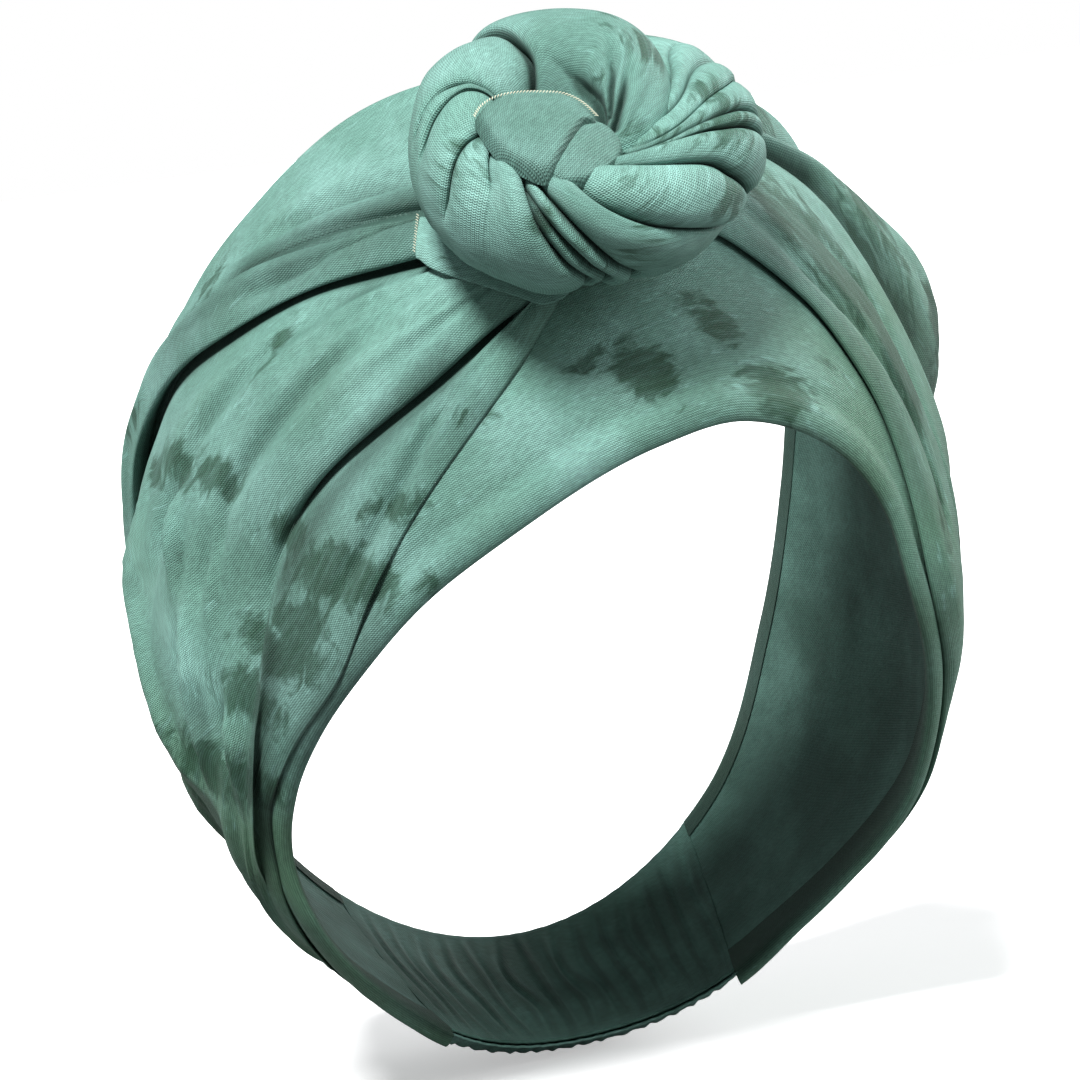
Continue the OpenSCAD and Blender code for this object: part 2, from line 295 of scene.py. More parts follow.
def rod(name, points, radius, material, sides=8):
    """A round thread along a list of points, tapered to its ends."""
    points = np.array(points, float)
    ahead = np.gradient(points, axis=0)
    ahead /= np.linalg.norm(ahead, axis=1, keepdims=True)
    side = np.cross(ahead, [0.3, 0.2, 0.93])
    side /= np.linalg.norm(side, axis=1, keepdims=True)
    other = np.cross(ahead, side)
    a = np.arange(sides) * 2 * math.pi / sides
    taper = np.sin(np.linspace(0.12, math.pi - 0.12, len(points))) ** 0.35
    grid = points[:, None] + radius * taper[:, None, None] * (
        np.cos(a)[None, :, None] * side[:, None] + np.sin(a)[None, :, None] * other[:, None])
    return cloth(name, grid, material, ring=True)


def joined(name, pieces):
    """Several small pieces as one mesh."""
    bpy.ops.object.select_all(action="DESELECT")
    for piece in pieces:
        piece.select_set(True)
    bpy.context.view_layer.objects.active = pieces[0]
    bpy.ops.object.join()
    pieces[0].name = name
    pieces[0].data.name = name
    return pieces[0]


# ---- materials


class Nodes:
    """Short names for building a node tree."""

    def __init__(self, owner):
        owner.use_nodes = True
        self.tree = owner.node_tree
        self.tree.nodes.clear()

    def new(self, kind, **settings):
        node = self.tree.nodes.new(kind)
        for key, value in settings.items():
            setattr(node, key, value)
        return node

    def link(self, source, target):
        self.tree.links.new(source, target)

    def math(self, operation, a, b=0.5, c=0.5):
        node = self.new("ShaderNodeMath", operation=operation)
        for socket, value in zip(node.inputs, (a, b, c)):
            if isinstance(value, bpy.types.NodeSocket):
                self.link(value, socket)
            else:
                socket.default_value = value
        return node.outputs[0]

    def times(self, a, b):
        return self.math("MULTIPLY", a, b)

    def step(self, value, low, high, out_low=0.0, out_high=1.0):
        """As smooth() above, from low to high, between out_low and out_high."""
        node = self.new("ShaderNodeMapRange", interpolation_type="SMOOTHSTEP")
        self.link(value, node.inputs["Value"])
        for name, number in (("From Min", low), ("From Max", high),
                             ("To Min", out_low), ("To Max", out_high)):
            node.inputs[name].default_value = number
        return node.outputs["Result"]

    def blend(self, factor, a, b, mode="MIX"):
        node = self.new("ShaderNodeMix", data_type="RGBA", blend_type=mode)
        for socket, value in ((node.inputs[0], factor), (node.inputs[6], a), (node.inputs[7], b)):
            if isinstance(value, bpy.types.NodeSocket):
                self.link(value, socket)
            elif isinstance(value, (int, float)):
                socket.default_value = value
            else:
                socket.default_value = (*value, 1)
        return node.outputs[2]

    def noise(self, vector, scale, detail=2.0, roughness=0.5, distortion=0.0):
        node = self.new("ShaderNodeTexNoise")
        self.link(vector, node.inputs["Vector"])
        node.inputs["Scale"].default_value = scale
        node.inputs["Detail"].default_value = detail
        node.inputs["Roughness"].default_value = roughness
        node.inputs["Distortion"].default_value = distortion
        return node.outputs["Fac"]

    def field(self, name):
        """A value stored on the mesh's points."""
        return self.new("ShaderNodeAttribute", attribute_name=name).outputs["Fac"]

    def scaled(self, vector, scale, turn=0.0):
        node = self.new("ShaderNodeMapping")
        node.inputs["Scale"].default_value = scale
        node.inputs["Rotation"].default_value = (0, 0, turn)
        self.link(vector, node.inputs["Vector"])
        return node.outputs[0]

    def surface(self):
        """A shader that shows as the surface of the material."""
        shader = self.new("ShaderNodeBsdfPrincipled")
        self.link(shader.outputs[0], self.new("ShaderNodeOutputMaterial").inputs["Surface"])
        return shader

    def relief(self, shader, height, strength, distance):
        """Fine relief of the shader's surface; distance is in metres."""
        bump = self.new("ShaderNodeBump")
        bump.inputs["Strength"].default_value = strength
        bump.inputs["Distance"].default_value = distance
        self.link(height, bump.inputs["Height"])
        self.link(bump.outputs[0], shader.inputs["Normal"])


def srgb(r, g, b):
    """Linear colour from 0-255 screen values."""
    def channel(v):
        v /= 255
        return v / 12.92 if v <= 0.04045 else ((v + 0.055) / 1.055) ** 2.4
    return channel(r), channel(g), channel(b)


TEAL = srgb(100, 142, 130)
TEAL_PALE = srgb(129, 172, 163)
PALE_STROKE = srgb(142, 190, 182)
OLIVE = srgb(24, 62, 40)
# Partly the print's olive tone and partly painted shade.
OLIVE_TONE_AND_SHADE = srgb(74, 110, 84)
# Colour of the painted shade in creases and hollows.
CREASE_SHADE = srgb(20, 46, 36)
# The lining: the same jersey without print, darker than the outer teal as painted shade for the
# inside of the band.
LINING_TEAL_SHADED = srgb(66, 100, 90)
THREAD = srgb(222, 222, 196)
ELASTIC = srgb(233, 231, 223)
WALE, COURSE = 0.58, 0.5  # width and height of one knit stitch
PLY = 0.4  # pitch of the thread's twist
BRUSH_TURN = 0.5  # direction of the print's brush strokes on the weave


def weave_map(n):
    """The weave map and its parts along and across the cloth."""
    uv = n.new("ShaderNodeUVMap", uv_map="weave").outputs["UV"]
    split = n.new("ShaderNodeSeparateXYZ")
    n.link(uv, split.inputs[0])
    return uv, split.outputs[0], split.outputs[1]


def knit_height(n, along, across):
    """Height of V-shaped knit stitches, 0 to 1."""
    column = n.math("PINGPONG", n.math("DIVIDE", along, WALE), 0.5)
    slant = n.math("MULTIPLY_ADD", column, 1.0, n.math("DIVIDE", across, COURSE))
    wave = n.math("SINE", n.times(slant, 2 * math.pi))
    loops = n.math("MULTIPLY_ADD", wave, 0.5, 0.5)
    ridge = n.math("SINE", n.times(column, 2 * math.pi))
    return n.math("MULTIPLY_ADD", loops, 0.55, n.times(ridge, 0.45))


def print_over(n, uv, colour, dark):
    """The colour with the olive tone, which is partly print and partly painted shade, and brushed
    blotches with pale strokes round them.
    """
    colour = n.blend(n.field("olive_tone_and_shade"), colour, OLIVE_TONE_AND_SHADE)
    ragged = n.noise(n.scaled(uv, (0.13, 0.3, 1), BRUSH_TURN), 1.0, 4, 0.6, 0.9)
    streak = n.noise(n.scaled(uv, (0.1, 0.6, 1), BRUSH_TURN), 1.0, 3, 0.6)
    edge = n.math("MULTIPLY_ADD", n.math("SUBTRACT", ragged, 0.5), 1.5, n.field("blotch"))
    edge = n.math("MULTIPLY_ADD", n.math("SUBTRACT", streak, 0.5), 0.5, edge)
    halo = n.times(n.step(edge, 0.12, 0.3), n.step(streak, 0.5, 0.72))
    colour = n.blend(n.times(halo, 0.4), colour, PALE_STROKE)
    mask = n.times(n.step(edge, 0.28, 0.68), n.step(streak, 0.2, 0.7, 0.92, 0.7))
    return n.blend(mask, colour, dark)


def jersey(name, base, pale, dark, deep, printed=True, sheen=0.07):
    """Brushed jersey: knit stitches, a washed tone, painted shade in the creases and, if printed,
    blotches.
    """
    material = bpy.data.materials.new(name)
    n = Nodes(material)
    shader = n.surface()
    uv, along, across = weave_map(n)
    height = knit_height(n, along, across)
    place_on = n.new("ShaderNodeTexCoord").outputs["Object"]
    wash = n.noise(place_on, 42, 3, 0.55)
    colour = n.blend(n.step(wash, 0.38, 0.68, 0, 0.7), base, pale)
    aged = n.noise(place_on, 24, 2, 0.5, 0.8)
    colour = n.blend(n.step(aged, 0.45, 0.75, 0, 0.26), colour, dark)
    if printed:
        colour = print_over(n, uv, colour, dark)
    # Painted shade: darker towards the shade colour in the creases and shaded hollows.
    colour = n.blend(n.times(n.field("crease"), 0.82), colour, deep)
    yarn = n.noise(n.scaled(uv, (0.45, 1.3, 1)), 1.0, 3, 0.7)
    loops = n.step(height, 0.05, 0.8, 0.46, 1.24)
    grain = n.times(loops, n.step(yarn, 0.25, 0.75, 0.8, 1.2))
    tint = n.new("ShaderNodeCombineColor")
    for socket in tint.inputs:
        n.link(grain, socket)
    colour = n.blend(1.0, colour, tint.outputs[0], "MULTIPLY")
    n.link(colour, shader.inputs["Base Color"])
    n.link(n.step(height, 0.1, 0.9, 0.68, 0.46), shader.inputs["Roughness"])
    shader.inputs["Specular IOR Level"].default_value = 0.26
    shader.inputs["Sheen Weight"].default_value = sheen
    shader.inputs["Sheen Roughness"].default_value = 0.4
    shader.inputs["Sheen Tint"].default_value = (0.75, 0.95, 0.9, 1)
    n.relief(shader, height, 0.85, 0.00018)
    return material


def thread(name, colour):
    """Twisted sewing thread."""
    material = bpy.data.materials.new(name)
    n = Nodes(material)
    shader = n.surface()
    _, along, across = weave_map(n)
    slant = n.math("MULTIPLY_ADD", across, 0.6, along)
    ply = n.math("SINE", n.times(slant, 2 * math.pi / PLY))
    shaded = tuple(c * 0.72 for c in colour)
    n.link(n.blend(n.step(ply, -1, 1), shaded, colour), shader.inputs["Base Color"])
    n.link(n.step(ply, -1, 1, 0.8, 0.6), shader.inputs["Roughness"])
    shader.inputs["Sheen Weight"].default_value = 0.2
    n.relief(shader, ply, 0.5, 0.0001)
    return material


JERSEY = jersey("teal_jersey", TEAL, TEAL_PALE, OLIVE, CREASE_SHADE)
LINING_WITH_SHADE = jersey("lining_jersey", LINING_TEAL_SHADED, TEAL, OLIVE, CREASE_SHADE, printed=False, sheen=0.1)
OVERLOCK = thread("overlock_thread", THREAD)
RIBBED = thread("white_elastic", ELASTIC)


# ---- print

# Dark brushed blotches: turn, rise, half length, half width, direction, strength.
BLOTCHES = [
    (0, -19, 5, 3.5, -30, 1.0), (-6, -17, 3.5, 2, 10, 0.7), (17, -21.5, 6, 3.5, -15, 1.0),
    (9, -14, 5, 2.5, -40, 0.8), (25, -17, 4, 2, -40, 0.5), (-53, -3, 6, 3, -55, 0.9),
    (-60, 5, 7, 3.5, -60, 0.9), (-66, 10, 6, 3, -60, 0.8), (-38, 3, 7, 2, 35, 0.6),
    (-47, -17, 6, 2.5, -50, 0.9), (-53, -26, 6, 3.5, -50, 1.0), (-61, -24, 7, 4, -60, 1.0),
    # The blotch at (-43, -25.5) is print, made stronger as painted shade for the valley there.
    (-70, -26, 8, 4, -65, 1.0), (-43, -25.5, 9, 4, -45, 1.15), (-58, -28, 8, 4, -40, 1.0),
    (-88, -24, 10, 5, -70, 1.0), (-82, -31, 9, 4, -75, 0.9), (-32, -23, 5, 2.5, -30, 0.7),
    (-20, -18, 4, 2, -20, 0.6), (-33, -32, 5, 2.5, -10, 0.6), (-98, 4, 8, 4, -50, 0.9),
    (-92, -12, 7, 3, -60, 0.7), (22, 0, 6, 3.5, -40, 0.9), (35, -4, 7, 4, -50, 1.0),
    (44, -12, 6, 3, -60, 0.9), (42, 10, 8, 5, -40, 0.8), (28, -2, 12, 6, -40, 0.95),
    (48, 2, 10, 6, -50, 0.55),
    (41, -13, 10, 4, -55, 0.95), (52, -26, 6, 3, -60, 0.8),
    (60, 4, 9, 5, -50, 0.9), (70, -24, 8, 4, -60, 0.9), (84, 12, 9, 5, -30, 0.9),
    (96, -16, 9, 5, 40, 1.0), (112, 6, 9, 5, -30, 0.8), (124, -26, 9, 5, 50, 1.0),
    (140, -10, 8, 5, 10, 0.8), (-112, -20, 9, 5, 50, 1.0), (-120, 0, 8, 4, 30, 0.8),
    (-140, -22, 8, 5, 10, 0.8), (180, -22, 9, 5, 10, 0.9), (166, -32, 6, 3, 20, 0.7),
    (-46, 24, 6, 3, 20, 0.6), (-76, 28, 8, 3, -20, 0.7), (28, 20, 7, 3, 20, 0.7),
]


def blotches(turn, rise):
    """How strong the print's blotches are at places of the band."""
    turn, rise = np.broadcast_arrays(turn, rise)
    value = np.full(turn.shape, 0.0)
    for t, r, length, width, direction, strength in BLOTCHES:
        x, y = (turn - t) * np.cos(np.radians(r)), rise - r
        c, s = math.cos(math.radians(direction)), math.sin(math.radians(direction))
        far = ((x * c + y * s) / length) ** 2 + ((y * c - x * s) / width) ** 2
        value = np.maximum(value, strength * np.exp(-far * 1.1))
    return value


# ---- folds of the band


def lap_over_face(crease, over, top, low, valley, lap, spread=1.0):
    """Stops of a fold that lies over its neighbour on the face side.

    lap is 1 for a true overlap and 0 for a soft valley with no overlap, and spread
    widens the crown side.
    """
    rises = [(-2.6, -over - 0.9), (-1.1, 1.4), (0.0, 0.5), (1.1 * spread, -over),
             (2.6 * spread, 1.7)]
    soft = [mix(top, valley, 0.25), mix(top, valley, 0.75), valley,
            mix(top, valley, 0.7), mix(top, valley, 0.2)]
    hard = [low, valley, mix(valley, top, 0.3), mix(valley, top, 0.62), top]
    return [(crease + mix(a, b, lap), mix(s, h, lap)) for (a, b), s, h in zip(rises, soft, hard)]


def lap_over_crown(crease, over, top, low, valley, lap):
    """The same for a fold that lies over its neighbour on the crown side."""
    stops = lap_over_face(0 * crease, over, top, low, valley, lap)
    return [(crease - rise, height) for rise, height in stops[::-1]]


def with_steps(stops, counts):
    """Stops with the number of mesh steps from each to the next."""
    return [(rise, height, count) for (rise, height), count in zip(stops, counts)]


def dome(low, high, share, height):
    """A stop part of the way from one crease to the next."""
    return mix(low, high, share), height


def crown_roll(turn, height):
    """The crown edge, turned in over the lining."""
    edge = CROWN_EDGE(turn)
    return [(edge - 2.6, height), (edge - 0.4, height * 0.72 + 0.5), (edge + 0.5, 1.9),
            (edge - 0.4, 0.45), (edge - 3.2, 0.1)]


GATHER_RIDGES = 8.5
GATHER_HEIGHT = 1.3


def gathers(turn, rise):
    """Ridges of the crowded cloth before the nape, growing towards the casing."""
    share = (rise - FACE_EDGE(turn)) / (CROWN_EDGE(turn) - FACE_EDGE(turn))
    grow = smooth(112, 152, np.abs(turn))
    wander = 0.35 * ripple(turn / 14, share * 5, 31)
    phase = (share + 0.04 * wander) * 2 * math.pi * GATHER_RIDGES + wander * 2
    return grow * GATHER_HEIGHT * np.cos(phase)


def long_wrinkles(turn, share, seed, length=26.0, pitch=0.45):
    """Soft wrinkles that run along the folds."""
    coarse = ripple(turn / length + 50, share / pitch + 9, seed)
    fine = ripple(turn / length * 1.7 + 20, share / pitch * 2.1 + 5, seed + 1)
    return coarse + 0.45 * fine


# Small folds of the band: how far each stands out (below 0, how deep it is sunk), its
# half width in millimetres, and its path of (turn, rise) points.
LEFT_PLEATS = [
    (-3.4, 1.5, [(-42, 14), (-36, 11.8), (-31, 9.5), (-26, 8), (-22, 6.7), (-10, 3.5)]),
    (-2.4, 1.5, [(-40, 23), (-28, 17.5), (-20, 13), (-10, 9)]),
    (-2.6, 3.0, [(-82, -6), (-76, -1), (-64, 3), (-54, 4.5), (-41, 4), (-30, 2), (-19, 0)]),
    (-2.4, 2.8, [(-72, -14), (-66, -10), (-54, -6.5), (-40, -5.5), (-28, -4.5), (-16, -4)]),
    (-0.9, 2.0, [(-40, -1), (-30, -1.4), (-16, -1.6)]),
    (2.8, 2.6, [(-66, 15), (-74, 8.5), (-81, 2), (-86, -7), (-91, -15), (-97, -25)]),
    (2.8, 2.6, [(-58, 4), (-64, 0), (-70, -7.5), (-77, -16), (-85, -21), (-100, -27)]),
    (2.8, 2.4, [(-50, -3), (-57, -7), (-66, -14), (-73, -20.5), (-79, -27), (-92, -33)]),
    (-2.8, 2.2, [(-60, -1), (-68, -6), (-76, -13), (-84, -19), (-96, -25)]),
    (-2.8, 2.2, [(-52, -6), (-60, -10), (-68, -16), (-76, -23), (-88, -29)]),
    (-1.8, 1.8, [(-17, -12.5), (-28, -20), (-36, -24), (-48, -28)]),
    (1.2, 2.4, [(-98, 18), (-104, 8), (-108, -4), (-112, -16), (-118, -26)]),
    (-1.4, 2.0, [(-92, 12), (-99, 3), (-103, -8), (-107, -18), (-114, -28)]),
]
RIGHT_PLEATS = [
    (-2.4, 1.8, [(14, 1), (24, -6), (34, -11), (43, -17), (52, -25), (60, -31)]),
    (-2.0, 2.2, [(16, 4), (28, 1), (38, -3), (48, -11), (58, -20), (72, -27)]),
    (-2.2, 2.4, [(34, 13), (46, 9), (58, 4), (72, 2), (90, 4)]),
    (1.0, 3.0, [(52, 12), (66, 9), (84, 8), (104, 6)]),
    (-1.3, 2.4, [(60, -16), (74, -19), (90, -20), (110, -22)]),
    (1.0, 2.6, [(66, -12), (82, -13), (100, -14), (120, -18)]),
    (-1.2, 2.2, [(20, 19), (36, 22), (54, 24), (76, 24)]),
]


# Shaded hollows of the band: strength, half width in millimetres and path of (turn, rise).
SHADES = [
    (1.0, 5.0, [(-10, 5), (-20, 9.5), (-28, 13.2), (-38, 18), (-46, 21)]),
    (0.85, 5.0, [(-14, -11), (-28, -14.5), (-39, -17), (-50, -20), (-60, -25)]),
    (0.9, 6.5, [(-56, -23), (-66, -28), (-76, -31), (-92, -33)]),
    (0.75, 6.5, [(-8, 0.5), (-16, 3.5), (-24, 7.5), (-32, 11), (-42, 15.5)]),
    (0.4, 11.0, [(-12, -14), (-30, -20), (-46, -25.5), (-60, -28.5), (-76, -32)]),
    (0.6, 5.0, [(-36, -29), (-50, -34.5), (-62, -36), (-83, -36)]),
    (0.5, 5.5, [(-16, 4), (-28, 9), (-40, 15), (-52, 21), (-66, 26)]),
    (0.7, 4.0, [(12, 8.5), (24, 11), (34, 10.5), (41, 5), (52, -3)]),
    (0.4, 8.0, [(14, 2), (24, -3), (34, -9), (44, -17), (54, -25)]),
    (0.22, 12.0, [(4, -20), (-12, -22), (-28, -27), (-44, -32)]),
    (0.5, 3.5, [(14, -3), (24, -8), (34, -15.5), (44, -25), (54, -32)]),
]


def shades(turn, rise):
    """How dark the shaded hollows are at places of the band."""
    turn, rise = np.broadcast_arrays(turn, rise)
    value = np.zeros(turn.shape)
    for strength, width, path in SHADES:
        far, along = near_places(turn, rise, path)
        ends = smooth(0, 0.12, along) * smooth(1, 0.75, along)
        value = np.maximum(value, strength * ends * np.exp(-(far / width) ** 2))
    return value


def olive_tone_and_shade_at(turn, rise):
    """Where the colour is greener and duller than the teal: partly the print's olive tone, partly
    painted shade on the right side and the far left of the band.
    """
    right = 0.62 * smooth(12, 36, turn - 0.5 * (rise + 10)) * (1 - 0.55 * smooth(-4, 6, rise))
    left = 0.8 * smooth(-78, -104, turn + 0.3 * rise)
    return np.clip(right + left + 0.2 * ripple(turn / 11 + 40, rise / 7 + 20, 97), 0, 0.9)


def small_folds(folds, turn, rise):
    """Height that the small folds add at places of the band."""
    total = np.zeros(np.broadcast(turn, rise).shape)
    for out, width, path in folds:
        far, along = near_places(turn, rise, path)
        ends = smooth(0, 0.3, along) * smooth(1, 0.8, along)
        total = total + out * ends * np.exp(-(far / width) ** 2)
    return total


def band_sheet(name, turns, stops, wrinkle, replaces, folds=()):
    """A printed sheet of the band from its stops, its wrinkles and its small folds."""
    rise, height, share = section(stops)
    turn = turns[:, None]
    height = height + wrinkle(turn, share[None, :]) * smooth(0.4, 2.4, height)
    height = height + small_folds(folds, turn, rise) * smooth(1.5, 4, height)
    height = height + gathers(turn, rise) * smooth(0.6, 2.6, height)
    points = place(turn, rise, height)
    # Painted shade: darker in the creases and in the shaded hollows.
    crease = np.maximum(crease_depth(rise, height), shades(turn, rise))
    # The olive field is partly print tone and partly painted shade.
    piece = cloth(name, points, JERSEY, blotch=blotches(turn, rise), crease=crease,
                  olive_tone_and_shade=olive_tone_and_shade_at(turn, rise))
    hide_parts(*replaces)
    return piece


def forehead_panel():
    turns = np.linspace(-SHEET_TURN, SHEET_TURN, 310)
    edge = FACE_EDGE(turns)
    crease = np.where(turns < 0, LOWER_CREASE(turns), FRONT_CREASE(turns))
    crease = mix(-4, crease, smooth(4, 13, np.abs(turns)))
    top = np.maximum(crease + 3.2, edge + 10)
    room = top - edge
    stops = [
        (edge + 5.5, 0.1, 3), (edge + 2.4, 0.15, 3), (edge + 0.4, 0.5, 4),
        (edge - 0.4, 1.8, 4), (edge + 0.5, 3.3, 4), (edge + 2.3, 4.0, 3),
        (edge + 4.3, 3.1, 3), (edge + 6.2, 3.5, 14), (edge + room * 0.72, 3.5, 8),
        (top - 2.2, 2.6, 4), (top, 1.9, 1),
    ]

    def wrinkle(turn, share):
        return 0.22 * long_wrinkles(turn, share, 3, 18, 0.9) * smooth(6, 7.5, share)

    return band_sheet("forehead_cloth", turns, stops, wrinkle, ["forehead_panel"])


def left_pleats():
    turns = np.linspace(-SHEET_TURN, 0.7, 173)
    near = smooth(-34, -16, turns)
    far = smooth(-112, -140, turns)
    lower, main, upper, top, crown = (
        f(turns) for f in (LOWER_CREASE, MAIN_CREASE, UPPER_CREASE, TOP_CREASE, CROWN_EDGE))
    b_top = mix(5.6, 6.2, near) - far * 3
    c_top = line([(-153, 2.2), (-126, 2.4), (-114, 3.2), (-104, 5.4), (-93, 8.8), (-80, 8.8),
                  (-66, 7.5), (-45, 7.5), (-20, 7.5), (-2, 8)])(turns)
    d_top = line([(-153, 3), (-126, 3.4), (-100, 6.4), (-80, 8), (-60, 7.2), (-35, 6.8),
                  (-18, 8.6), (-2, 9)])(turns)
    e_top = line([(-153, 3), (-120, 3.6), (-90, 4.6), (-66, 3.4), (-40, 3.2), (-20, 4.6),
                  (-2, 7)])(turns)
    main_lap = line([(-154, 0), (-75, 0), (-60, 0.1), (-44, 0.55), (-30, 0.9), (-2, 1)])(turns)
    main_deep = line([(-154, 3.5), (-126, 5), (-100, 7), (-84, 6.6), (-72, 4.4), (-56, 1.6),
                      (-2, 1.8)])(turns)
    main_spread = line([(-154, 1.5), (-90, 3), (-60, 3.4), (-46, 2), (-34, 1)])(turns)
    top_lap = line([(-154, 0), (-46, 0), (-34, 0.3), (-2, 0.5)])(turns)
    top_deep = line([(-154, 3), (-90, 4.8), (-50, 5.2), (-38, 4), (-28, 1.6), (-2, 1.2)])(turns)
    top_spread = line([(-154, 1.6), (-50, 1.6), (-34, 1.4)])(turns)
    stops = [(lower + 4.5, 2.3, 3), (lower + 1.6, 2.5, 3), (lower + 0.6, 3.2, 3),
             (lower - 1.1, 4.3, 4), (lower + 1.7, b_top, 7)]
    stops += [(*dome(lower, main, 0.62, b_top + 0.5), 6)]
    stops += with_steps(
        lap_over_face(main, 1.0, c_top - 0.6, 3.2, main_deep, main_lap, main_spread),
        (4, 4, 4, 4, 10))
    stops += [(*dome(main, upper, 0.36, c_top + 0.4), 12), (*dome(main, upper, 0.68, c_top), 9)]
    stops += with_steps(lap_over_face(upper, 1.2, d_top, 3.4, 2.0, 1 - 0.6 * far),
                        (4, 5, 5, 4, 5))
    stops += [(*dome(upper, top, 0.6, d_top + 0.4 - 4.6 * smooth(-40, -24, turns)), 5)]
    stops += with_steps(lap_over_face(top, 0.8, e_top, 3.0, top_deep, top_lap, top_spread),
                        (4, 4, 4, 4, 6))
    roll = crown_roll(turns, e_top)
    stops += [(mix(top, crown, 0.55), e_top + 0.2, 6)]
    stops += with_steps(roll, (4, 4, 4, 3, 1))

    def wrinkle(turn, share):
        strong = 0.5 + 0.5 * smooth(-60, -95, turn) + 0.3 * smooth(-40, -20, turn)
        return strong * long_wrinkles(turn, share, 11)

    return band_sheet(
        "left_pleats", turns, stops, wrinkle,
        ["left_lower_fold", "left_main_fold", "left_upper_fold", "left_top_fold", "left_gather"],
        LEFT_PLEATS)


def right_pleats():
    turns = np.linspace(-0.7, SHEET_TURN, 173)
    far = smooth(112, 140, turns)
    front, middle, rear, crown = (
        f(turns) for f in (FRONT_CREASE, MIDDLE_CREASE, REAR_CREASE, CROWN_EDGE))
    f_top = line([(1, 8), (20, 7.2), (45, 7.4), (60, 8.4), (75, 8), (90, 6.5), (126, 5.5),
                  (153, 3.6)])(turns)
    f_edge = line([(1, 8), (30, 8), (50, 8.6), (62, 9), (90, 7), (126, 5.5), (153, 3.6)])(turns)
    g_top = line([(1, 7), (20, 8.5), (34, 11.6), (44, 15), (54, 18.4), (63, 17), (74, 12.4),
                  (90, 8.5), (126, 6), (153, 3.6)])(turns)
    h_top = line([(1, 6), (20, 7.5), (36, 11), (50, 9.5), (80, 7), (126, 5.5), (153, 3.5)])(turns)
    stops = [(front + 4.5, 2.3, 3), (front + 1.6, 2.5, 3), (front + 0.6, 3.4, 3),
             (front - 1.2, 4.6, 4), (front + 1.7, f_top - 0.6, 9)]
    stops += [(*dome(front, middle, 0.4, f_top), 10), (*dome(front, middle, 0.75, f_top), 6)]
    stops += with_steps(lap_over_crown(middle, 1.0, f_edge, 4.0, 2.4, 1 - 0.7 * far),
                        (4, 4, 4, 5, 6))
    stops += [(*dome(middle, rear, 0.5, g_top), 8), (*dome(middle, rear, 0.8, g_top - 1.5), 4)]
    stops += with_steps(lap_over_crown(rear, 0.8, g_top - 3, 3.6, 3.0, 0.7 - 0.6 * far),
                        (4, 4, 4, 4, 5))
    stops += [(mix(rear, crown, 0.5), h_top, 6)]
    stops += with_steps(crown_roll(turns, h_top * 0.85), (4, 4, 4, 3, 1))

    def wrinkle(turn, share):
        strong = 0.3 + 0.25 * smooth(50, 90, turn)
        return strong * long_wrinkles(turn, share, 23)

    return band_sheet(
        "right_pleats", turns, stops, wrinkle,
        ["right_front_fold", "right_middle_fold", "right_rear_fold", "right_gather"],
        RIGHT_PLEATS)


def inner_lining():
    turn = np.linspace(-SHEET_TURN, SHEET_TURN, 206)[:, None]
    share = np.linspace(0, 1, 60)[None, :]
    rise = mix(FACE_EDGE(turn) + 1.4, CROWN_EDGE(turn) - 1.4, share)
    height = 0.5 + 0.18 * long_wrinkles(turn, share * 6, 41)
    points = place(turn, rise, height)
    piece = cloth("lining_cloth", points, LINING_WITH_SHADE, blotch=0 * rise)
    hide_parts("lining")
    return piece


def knot_base_cloth():
    """The scrunched middle of the band behind and under the knot."""
    turn = np.linspace(-14, 14, 70)[:, None]
    share = np.linspace(0, 1, 60)[None, :]
    rise = mix(-3.0, CROWN_EDGE(turn) + 0.2, share)
    folds = np.cos(turn * 0.9 + 2.2 * ripple(turn / 9, share * 2, 51))
    height = 6.4 + 1.6 * folds * smooth(0.2, 0.5, share)
    height = height * smooth(1.02, 0.9, share) + 0.5
    height = height * (1 - 0.6 * smooth(10, 14, np.abs(turn)))
    points = place(turn, rise, height)
    # Painted shade in the valleys of the scrunched folds.
    piece = cloth("knot_base_cloth", points, JERSEY, blotch=blotches(turn, rise),
                  crease=smooth(0.2, -1, folds) * 0.7)
    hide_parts("knot_base")
    return piece


# ---- nape


CASING_EDGE = 1.6  # the most that a casing layer stands out at its edges
CASING_PITCH = 2.6  # turn from one pucker of the casing to the next


def nape_layer(name, inset, height, ridges, material, node):
    """One layer of the nape's casing, puckered across by the elastic."""
    start = CASING_TURN + 0.3 + inset * 0.6
    turn = np.linspace(start, 360 - start, 180)[:, None]
    around = np.where(turn > 180, turn - 360, turn)
    share = np.linspace(0, 1, 48)[None, :]
    rise = mix(FACE_EDGE(around) + inset, CROWN_EDGE(around) - inset, share)
    wander = 0.9 * ripple(turn / 4, share * 3, 61) + 0.5 * np.sin(share * 7)
    pucker = ridges * (np.cos(turn * 2 * math.pi / CASING_PITCH + wander * 2.2) + 0.4
                       * np.cos(turn * 2 * math.pi / 1.5 + wander * 3))
    pucker = pucker * (0.2 + 0.8 * np.sin(share * math.pi))
    inside = smooth(0, 0.1, share) * smooth(1, 0.9, share)
    inside = inside * smooth(0, 2.2, turn - start) * smooth(0, 2.2, 360 - start - turn)
    height = mix(min(height, CASING_EDGE), height, inside)
    pucker = pucker * mix(0.5, 1, inside)
    points = place(turn, rise, height + pucker)
    # Painted shade in the valleys of the puckers.
    piece = cloth(name, points, material, blotch=blotches(around, rise),
                  crease=0.6 * smooth(0, -1, pucker / max(ridges, 0.3)), thick=0.5)
    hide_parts(node)
    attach(piece, "nape")
    return piece


# ---- knot

